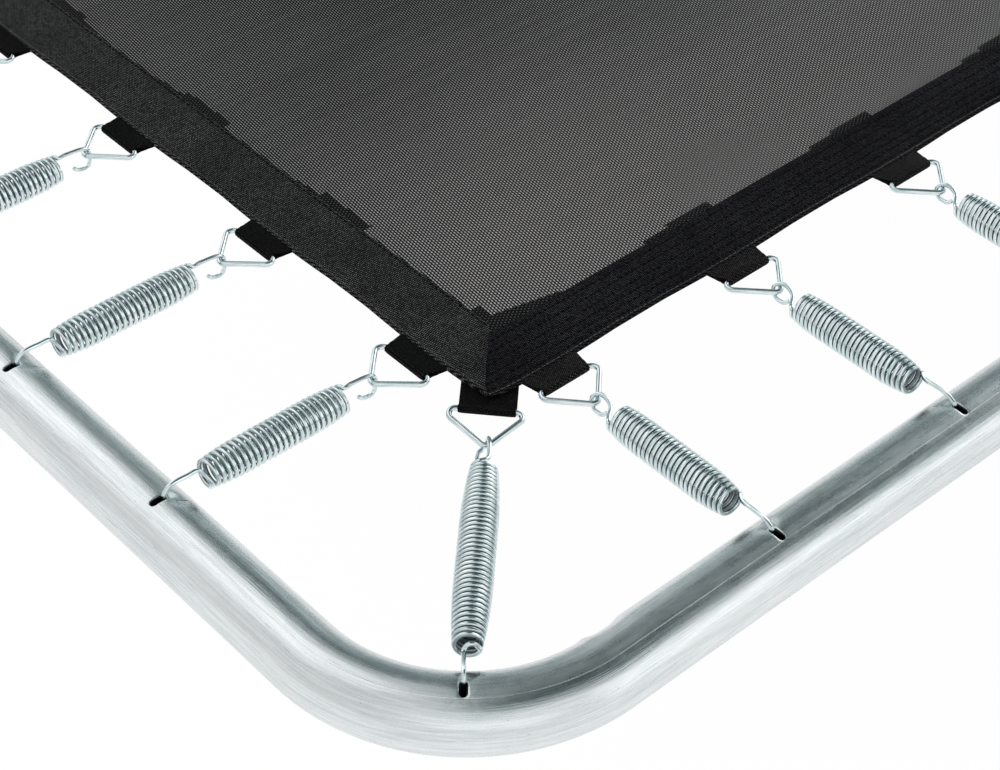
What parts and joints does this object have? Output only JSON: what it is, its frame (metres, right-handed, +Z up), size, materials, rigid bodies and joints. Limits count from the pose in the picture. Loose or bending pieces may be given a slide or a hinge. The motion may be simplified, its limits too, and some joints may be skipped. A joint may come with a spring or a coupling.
{
  "type": "garden trampoline",
  "caption": "Rectangular garden trampoline: a galvanised tube frame on two U-shaped legs, with a woven bed hung in it by coil springs.",
  "frame": {"origin": "on the ground under the middle of the bed", "axes": "+X along the long sides, +Y across, +Z up; the picture shows the corner at -X, -Y"},
  "size_m": [2.4104, 1.3998, 0.5838],
  "materials": {
    "galvanised_steel": "bright hot-dip galvanised tube with faint lengthwise streaks",
    "zinc_plated_wire": "bright zinc-plated spring wire",
    "hem_fabric": "black woven hem and webbing, with zinc-plated wire rings",
    "woven_bed": "grey-black open weave",
    "foot_rubber": "matt black rubber"
  },
  "bodies": {
    "frame": {"floor_bar_back": "galvanised_steel", "floor_bar_front": "galvanised_steel", "foot_back_left": "foot_rubber", "foot_back_right": "foot_rubber", "foot_front_left": "foot_rubber", "foot_front_right": "foot_rubber", "leg_post_back_left": "galvanised_steel", "leg_post_back_right": "galvanised_steel", "leg_post_front_left": "galvanised_steel", "leg_post_front_right": "galvanised_steel", "rail_back_left": "galvanised_steel", "rail_back_middle": "galvanised_steel", "rail_back_right": "galvanised_steel", "rail_front_left": "galvanised_steel", "rail_front_middle": "galvanised_steel", "rail_front_right": "galvanised_steel", "spring_back_01": "zinc_plated_wire", "spring_back_02": "zinc_plated_wire", "spring_back_03": "zinc_plated_wire", "spring_back_04": "zinc_plated_wire", "spring_back_05": "zinc_plated_wire", "spring_back_06": "zinc_plated_wire", "spring_back_07": "zinc_plated_wire", "spring_back_08": "zinc_plated_wire", "spring_back_09": "zinc_plated_wire", "spring_back_10": "zinc_plated_wire", "spring_back_11": "zinc_plated_wire", "spring_back_12": "zinc_plated_wire", "spring_corner_back_left": "zinc_plated_wire", "spring_corner_back_right": "zinc_plated_wire", "spring_corner_front_left": "zinc_plated_wire", "spring_corner_front_right": "zinc_plated_wire", "spring_front_01": "zinc_plated_wire", "spring_front_02": "zinc_plated_wire", "spring_front_03": "zinc_plated_wire", "spring_front_04": "zinc_plated_wire", "spring_front_05": "zinc_plated_wire", "spring_front_06": "zinc_plated_wire", "spring_front_07": "zinc_plated_wire", "spring_front_08": "zinc_plated_wire", "spring_front_09": "zinc_plated_wire", "spring_front_10": "zinc_plated_wire", "spring_front_11": "zinc_plated_wire", "spring_front_12": "zinc_plated_wire", "spring_left_01": "zinc_plated_wire", "spring_left_02": "zinc_plated_wire", "spring_left_03": "zinc_plated_wire", "spring_left_04": "zinc_plated_wire", "spring_left_05": "zinc_plated_wire", "spring_left_06": "zinc_plated_wire", "spring_right_01": "zinc_plated_wire", "spring_right_02": "zinc_plated_wire", "spring_right_03": "zinc_plated_wire", "spring_right_04": "zinc_plated_wire", "spring_right_05": "zinc_plated_wire", "spring_right_06": "zinc_plated_wire"},
    "mat": {"hem": "hem_fabric", "jumping_bed": "woven_bed"}
  },
  "joints": [
    {"name": "mat_bounce", "type": "slide", "parent": "frame", "child": "mat", "axis": [0, 0, 1], "range_m": [-0.12, 0.02], "stiffness_N_per_m": 9000, "springref_m": 0.0007, "deforming": ["spring_back_01", "spring_back_02", "spring_back_03", "spring_back_04", "spring_back_05", "spring_back_06", "spring_back_07", "spring_back_08", "spring_back_09", "spring_back_10", "spring_back_11", "spring_back_12", "spring_corner_back_left", "spring_corner_back_right", "spring_corner_front_left", "spring_corner_front_right", "spring_front_01", "spring_front_02", "spring_front_03", "spring_front_04", "spring_front_05", "spring_front_06", "spring_front_07", "spring_front_08", "spring_front_09", "spring_front_10", "spring_front_11", "spring_front_12", "spring_left_01", "spring_left_02", "spring_left_03", "spring_left_04", "spring_left_05", "spring_left_06", "spring_right_01", "spring_right_02", "spring_right_03", "spring_right_04", "spring_right_05", "spring_right_06"]}
  ]
}
